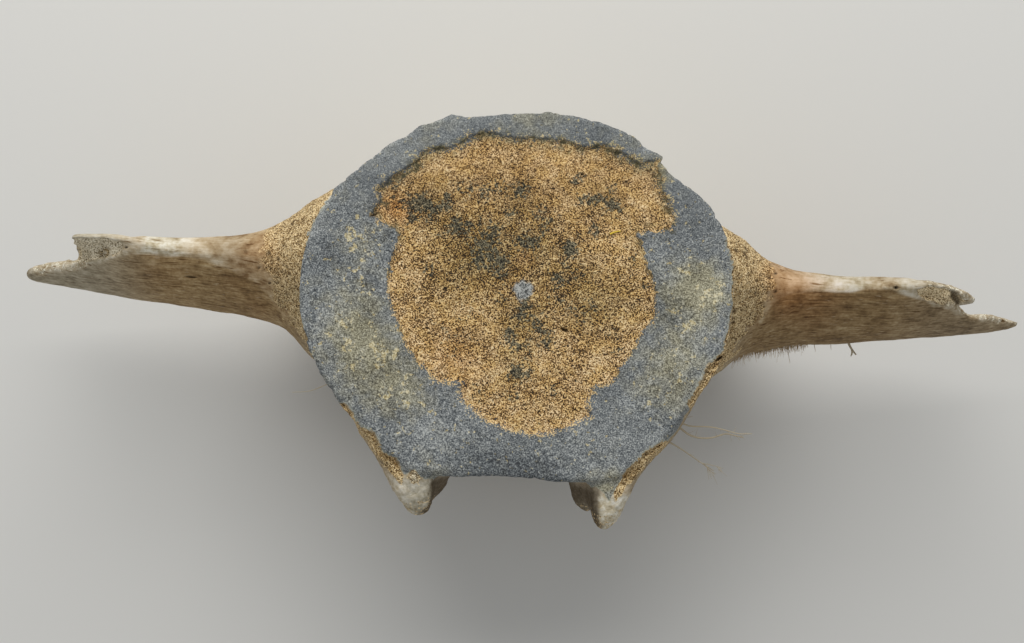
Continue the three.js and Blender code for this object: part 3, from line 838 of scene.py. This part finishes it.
def bone_material():
    """All the surfaces of the bone: worn core, grey plate, spongy bone and dense bone."""
    n = Nodes("weathered_bone")
    core_depth, plate_depth = n.mark("core"), n.mark("plate")
    grain = n.noise(0.85, 0)
    coarse = n.noise(2.3, 1.5, shift=5)
    medium = n.noise(4.2, 1.5, shift=27)
    blotch = n.noise(7.5, 2, shift=9)
    zone = n.noise(24, 2, shift=13)
    hue = n.step(n.noise(9, 2, shift=31), 0.35, 0.65)
    crumbs = n.scaled(grain, 0.76, n.scaled(coarse, 0.24))
    upper_face = n.mark("upper")

    # The worn core: dark pores between orange and tan crumbs of bone, with slate-grey growth.
    shade = n.total(
        crumbs,
        n.around(medium, 0.1),
        n.around(blotch, 0.2),
        n.around(zone, 0.15),
        n.scaled(n.mark("olive"), -0.055),
        n.scaled(n.mark("pale"), 0.05),
    )
    shade = n.blend(n.scaled(upper_face, 0.3), shade, 0.475)
    core = n.ramp(
        shade, (0.33, 44, 33, 20), (0.42, 114, 86, 52), (0.5, 176, 142, 96),
        (0.58, 216, 183, 132), (0.7, 238, 215, 172),
    )
    core = n.mix(n.scaled(hue, 0.8), core, linear(247, 238, 208), "MULTIPLY")
    core = n.mix(n.mark("olive"), core, linear(206, 208, 190), "MULTIPLY")
    growth = n.scaled(n.mark("dark"), 0.3, n.noise(2.2, 4, shift=21))
    slate_growth = n.ramp(crumbs, (0.34, 22, 22, 17), (0.5, 62, 62, 50), (0.66, 122, 118, 98))
    core = n.mix(n.scaled(n.step(growth, 0.62, 0.74), 0.88), core, slate_growth)
    edge_tone = n.ramp(crumbs, (0.34, 38, 38, 28), (0.5, 104, 100, 76), (0.66, 172, 164, 132))
    clumps = n.step(n.noise(4, 3, shift=17), 0.42, 0.58)
    wide_edge = n.scaled(n.step(core_depth, 10, -1.5), upper_face)
    wide_edge = n.scaled(wide_edge, n.scaled(clumps, 0.55, 0.4))
    core = n.mix(wide_edge, core, edge_tone)
    # Painted shadow with olive growth just inside the core's edge, where the plate stands over it.
    core = n.mix(n.scaled(n.step(core_depth, 2.5, -2), 0.45), core, edge_tone)
    plug = n.ramp(n.total(crumbs, n.around(medium, 0.3)), (0.36, 72, 74, 72), (0.62, 178, 178, 172))
    core = n.mix(n.mark("plug"), core, plug)

    # The grey plate, with warmer and duller zones, and cream flecks.
    slate = n.total(
        n.scaled(grain, 0.5, n.scaled(coarse, 0.28, 0.11)),
        n.around(medium, 0.09),
        n.around(blotch, 0.12),
        n.around(zone, 0.2),
        n.scaled(n.mark("murk"), -0.05),
    )
    slate = n.blend(n.scaled(upper_face, 0.35), slate, 0.495)
    cool = n.ramp(
        slate, (0.32, 56, 59, 61), (0.44, 96, 100, 101), (0.54, 128, 131, 130),
        (0.68, 181, 183, 178),
    )
    warm = n.ramp(
        slate, (0.32, 74, 70, 54), (0.44, 118, 113, 92), (0.54, 150, 145, 121),
        (0.7, 198, 192, 166),
    )
    plate = n.mix(n.step(n.total(n.around(hue, 0.3), n.mark("warm")), 0, 1), cool, warm)
    flecks = n.scaled(n.mark("cream"), 0.19, n.noise(3.2, 5, shift=3))
    flecks = n.scaled(n.step(flecks, 0.63, 0.73), 0.85)
    cream = n.ramp(slate, (0.36, 140, 124, 84), (0.48, 188, 172, 126), (0.62, 224, 214, 180))
    plate = n.mix(flecks, plate, cream)
    # Painted highlight: a pale line along the outer edge of the plate, at the rim.
    rim_highlight = n.scaled(n.step(plate_depth, 2.4, 0.6), 0.4)
    plate = n.mix(rim_highlight, plate, linear(178, 178, 158))

    # Open spongy bone, paler in the broken ends.
    open_shade = n.total(crumbs, n.around(medium, 0.16), n.around(blotch, 0.16))
    open_shade = n.scaled(n.mark("pale"), 0.05, open_shade)
    open_bone = n.ramp(
        open_shade, (0.32, 72, 54, 31), (0.42, 140, 111, 69), (0.52, 196, 167, 117),
        (0.64, 234, 211, 166),
    )
    open_end = n.ramp(
        open_shade, (0.32, 90, 80, 62), (0.42, 170, 158, 130), (0.52, 212, 202, 176),
        (0.64, 240, 233, 212),
    )
    open_bone = n.mix(n.mark("ash"), open_bone, open_end)

    # Dense bone: fibres run along the processes, and along the centrum on its side.
    process, lit_crown = n.mark("process"), n.mark("lit_crown")
    streaks = n.blend(
        process,
        n.noise(1.6, 2.5, stretch=(1, 1, 0.12)),
        n.noise(1.5, 2.5, stretch=(0.12, 1, 1)),
    )
    smooth_tone, tone = (
        n.total(*map(n.scaled, (streaks, coarse, blotch, zone), shares))
        for shares in ((0.2, 0.15, 0.4, 0.25), (0.35, 0.2, 0.25, 0.2))
    )
    # The brown of the processes' undersides: partly their own stain, partly painted shade.
    shaded_brown = n.ramp(
        tone, (0.36, 98, 74, 44), (0.46, 140, 113, 74), (0.55, 168, 141, 99),
        (0.68, 208, 186, 146),
    )
    tan = n.ramp(
        smooth_tone, (0.38, 132, 100, 62), (0.46, 164, 134, 92), (0.54, 184, 157, 114),
        (0.64, 214, 194, 156),
    )
    white = n.ramp(
        smooth_tone, (0.38, 150, 132, 100), (0.46, 196, 184, 156), (0.53, 220, 213, 194),
        (0.64, 238, 235, 225),
    )
    grey = n.ramp(
        tone, (0.34, 112, 102, 82), (0.45, 156, 148, 126), (0.55, 182, 174, 154),
        (0.68, 208, 202, 186),
    )
    # Painted light and shade with real bleaching: pale tones on the lit upper side, brown on the
    # shaded underside.
    dense = n.mix(lit_crown, shaded_brown, n.mix(n.mark("bleach"), tan, white))
    # Grey weathering of the tips and sides, and on the stumps painted shade that spares their lit
    # outer faces.
    dense = n.mix(n.mark("worn_grey_and_shade"), dense, grey)
    # Painted shade on the inner and lower faces of the stumps, with the darker right process and
    # band.
    dense = n.mix(n.mark("shade_and_grime"), dense, linear(126, 110, 90), "MULTIPLY")
    cracks = n.step(n.noise(2.2, 3, stretch=(0.07, 1, 1), shift=41), 0.6, 0.7)
    dense = n.mix(n.scaled(cracks, process), dense, linear(176, 156, 128), "MULTIPLY")
    scuffs = n.step(n.noise(2, 3, stretch=(0.3, 1, 1), shift=47), 0.63, 0.72)
    dense = n.mix(n.scaled(scuffs, 0.35), dense, linear(206, 188, 158))

    # All of them together, with ragged edges.
    ragged = n.around(coarse, 5)
    sponge = n.scaled(ragged, 0.3, n.mark("sponge"))
    colour = n.mix(n.step(sponge, 0.35, 0.65), dense, open_bone)
    colour = n.mix(n.step(n.total(plate_depth, ragged), 0, 0.8), colour, plate)
    fray = n.scaled(n.mark("fray"), 0.65, 0.35)
    fray = n.scaled(n.total(crumbs, -0.5), fray)
    core_edge = n.total(
        core_depth,
        n.around(coarse, 7),
        n.around(medium, 9),
        n.scaled(n.around(blotch, 14), upper_face),
        n.scaled(fray, 15),
    )
    colour = n.mix(n.step(core_edge, -0.4, 0.5), colour, core)
    rust = n.scaled(n.mark("rust"), 0.32)
    colour = n.mix(rust, colour, linear(246, 182, 104), "MULTIPLY")
    # A dark line along the core's edge, strongest at the top: painted shadow of the plate's edge,
    # broken into clumps of dark growth.
    edge_shadow_and_growth = n.scaled(n.mark("groove"), clumps)
    colour = n.mix(n.scaled(edge_shadow_and_growth, 0.8), colour, linear(74, 70, 47))
    # Painted shade: pores and holes darkened as if in shadow.
    colour = n.mix(n.scaled(n.mark("shaded_pit"), 0.75), colour, linear(58, 44, 27))

    n.feed(n.shader.inputs["Base Color"], colour)
    n.feed(n.shader.inputs["Roughness"], n.scaled(crumbs, 0.2, 0.78))
    n.shader.inputs["Specular IOR Level"].default_value = 0.3
    bump = n.new("Bump", BUMP_STRENGTH, BUMP_HEIGHT * MM)
    n.feed(bump.inputs["Height"], n.scaled(crumbs, 0.75, n.scaled(streaks, 0.3)))
    n.feed(n.shader.inputs["Normal"], bump.outputs["Normal"])
    return n.material


def plain_material(name, colour, roughness):
    """One colour all over."""
    material = bpy.data.materials.new(name)
    material.use_nodes = True
    shader = material.node_tree.nodes["Principled BSDF"]
    shader.inputs["Base Color"].default_value = linear(*colour)
    shader.inputs["Roughness"].default_value = roughness
    return material


# ---------- what clings to the bone ----------


def rounded(path):
    """A path with its corners cut off twice."""
    for _ in range(2):
        near, far = 0.75 * path[:-1] + 0.25 * path[1:], 0.25 * path[:-1] + 0.75 * path[1:]
        path = np.concatenate([path[:1], np.stack([near, far], 1).reshape(-1, 3), path[-1:]])
    return path


def lengths(vectors):
    return np.linalg.norm(vectors, axis=1, keepdims=True)


def strands(name, rows, material):
    """Thin round strands as one piece. Each row is a radius where it begins and a path."""
    corners, faces, flat = [], [], []
    for number, (thick, path) in enumerate(rows):
        path = rounded(np.array(path, float))
        ahead = np.gradient(path, axis=0)
        side = np.cross(ahead, (0.1, 0.2, 1))
        side /= lengths(side)
        up = np.cross(side, ahead / lengths(ahead))
        radius = thick * np.linspace(1, STRAND_TAPER, len(path))[:, None]
        start = len(corners)
        for step in range(len(path)):
            for k in range(STRAND_SIDES):
                turn = TAU * k / STRAND_SIDES
                around = math.cos(turn) * side[step] + math.sin(turn) * up[step]
                corners.append(path[step] + radius[step] * around)
        for step in range(len(path) - 1):
            for k in range(STRAND_SIDES):
                cell = [(step, k), (step + 1, k), (step + 1, k + 1), (step, k + 1)]
                faces.append([start + i * STRAND_SIDES + j % STRAND_SIDES for i, j in cell])
                flat += [(number + 0.9 * j / STRAND_SIDES, 0.9 * i / len(path)) for i, j in cell]
        for first, order in ((0, 1), (len(path) - 1, -1)):
            ring = list(range(STRAND_SIDES))[::order]
            faces.append([start + first * STRAND_SIDES + k for k in ring])
            place = 0.93 + 0.03 * (first > 0)
            turns = [TAU * k / STRAND_SIDES for k in ring]
            flat += [(number + 0.2 + 0.1 * math.cos(t), place + 0.01 * math.sin(t)) for t in turns]
    mesh = bpy.data.meshes.new(name)
    mesh.from_pydata([corner * MM for corner in corners], [], faces)
    flat = np.array(flat) / (len(rows), 1)
    mesh.uv_layers.new(name="OFBake").data.foreach_set("uv", flat.ravel())
    mesh.polygons.foreach_set("use_smooth", [True] * len(faces))
    mesh.materials.append(material)
    piece = placed(name, mesh)
    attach(piece, "root")


def touch(bone, start, direction):
    """Where a ray meets the bone."""
    hit, place, _, _ = bone.ray_cast(Vector(start) * MM, Vector(direction))
    return np.array(place) / MM if hit else None


def make_clinging(bone):
    """The rootlets, the dry fibres under the right process and the bit of grass on the core."""
    bpy.context.view_layer.update()
    rng = np.random.default_rng(7)
    rows = list(ROOTLETS)
    for thick, path in ROOTLETS[:5]:
        path = rounded(np.array(path, float))
        for start in rng.integers(len(path) // 5, len(path) - 3, HAIRS):
            ahead = path[start + 2] - path[start]
            ahead /= np.linalg.norm(ahead)
            bend = rng.normal(0, 0.6, (2, 3))
            bent = (path[start] + s * (ahead + bend[0] + s * 0.1 * bend[1]) for s in (2.5, 5))
            rows.append((HAIR_RADIUS, [path[start], *bent]))
    strands("rootlets", rows, plain_material("rootlet", (184, 170, 142), 0.8))
    rows = []
    single = [(FIBRE_RADIUS, *fibre) for fibre in FIBRES]
    for _ in range(FRINGE_COUNT):
        place = rng.uniform(*FRINGE_SPAN), rng.normal(80, 7)
        single.append((FRINGE_RADIUS, *place, rng.gamma(3, 1)))
    for thick, x, z, length in single:
        root = touch(bone, (x, -300, z), (0, 1, 0))
        if root is None:
            continue
        sway = rng.normal(0, 0.25, 3)
        steps = [np.array((sway[0] * s, -s, (sway[1] - 0.3) * s + sway[2])) for s in (0.4, 0.7, 1)]
        rows.append((thick, [root + (0, 1.5, 0), *(root + length * step for step in steps)]))
    strands("fibres", rows, plain_material("dry_fibre", (176, 150, 110), 0.9))
    blade = [touch(bone, (x, y, 300), (0, 0, -1)) + (0, 0, 0.35) for x, y in GRASS]
    strands("grass_bit", [(GRASS_RADIUS, blade)], plain_material("dry_grass", (214, 184, 62), 0.8))


# ---------- the stage ----------


def make_stage():
    """A pale floor, a soft key light from the belly side and a camera straight above."""
    bpy.ops.mesh.primitive_plane_add(size=8, location=(0, 0, -0.0005))
    floor = bpy.context.object
    floor.name = "floor"
    floor.data.materials.append(plain_material("pale_floor", (214, 212, 206), 0.9))

    key = bpy.data.lights.new("key", "AREA")
    key.size = KEY_SIZE
    key.energy = KEY_POWER
    lamp = placed("key", key)
    lamp.location = KEY_PLACE
    lamp.rotation_mode = "QUATERNION"
    lamp.rotation_quaternion = (Vector(KEY_TARGET) - lamp.location).to_track_quat("-Z", "Y")

    world = bpy.data.worlds.new("studio")
    world.use_nodes = True
    sky = world.node_tree.nodes["Background"].inputs
    sky["Color"].default_value = (0.93, 0.96, 1, 1)
    sky["Strength"].default_value = 0.45
    bpy.context.scene.world = world
    bpy.context.scene.view_settings.view_transform = "Standard"

    lens = bpy.data.cameras.new("camera")
    lens.sensor_width = 36
    lens.lens = lens.sensor_width * (CAMERA_HEIGHT - FACE) / VIEW_WIDTH
    camera = placed("camera", lens)
    camera.location = (OPTICAL_AXIS[0] * MM, OPTICAL_AXIS[1] * MM, CAMERA_HEIGHT * MM)
    camera.rotation_euler = (0, 0, CAMERA_TURN)
    bpy.context.scene.camera = camera


def make_bone():
    """The one skin that takes the place of all the solids."""
    mesh = fused(joined_solids())
    soften(mesh)
    refine_face(mesh)
    unwrap(mesh)
    shape_bone(mesh)
    mesh.materials.append(bone_material())
    bone = placed("bone", mesh)
    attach(bone, "root")
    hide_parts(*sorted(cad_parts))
    return bone


make_stage()
make_clinging(make_bone())
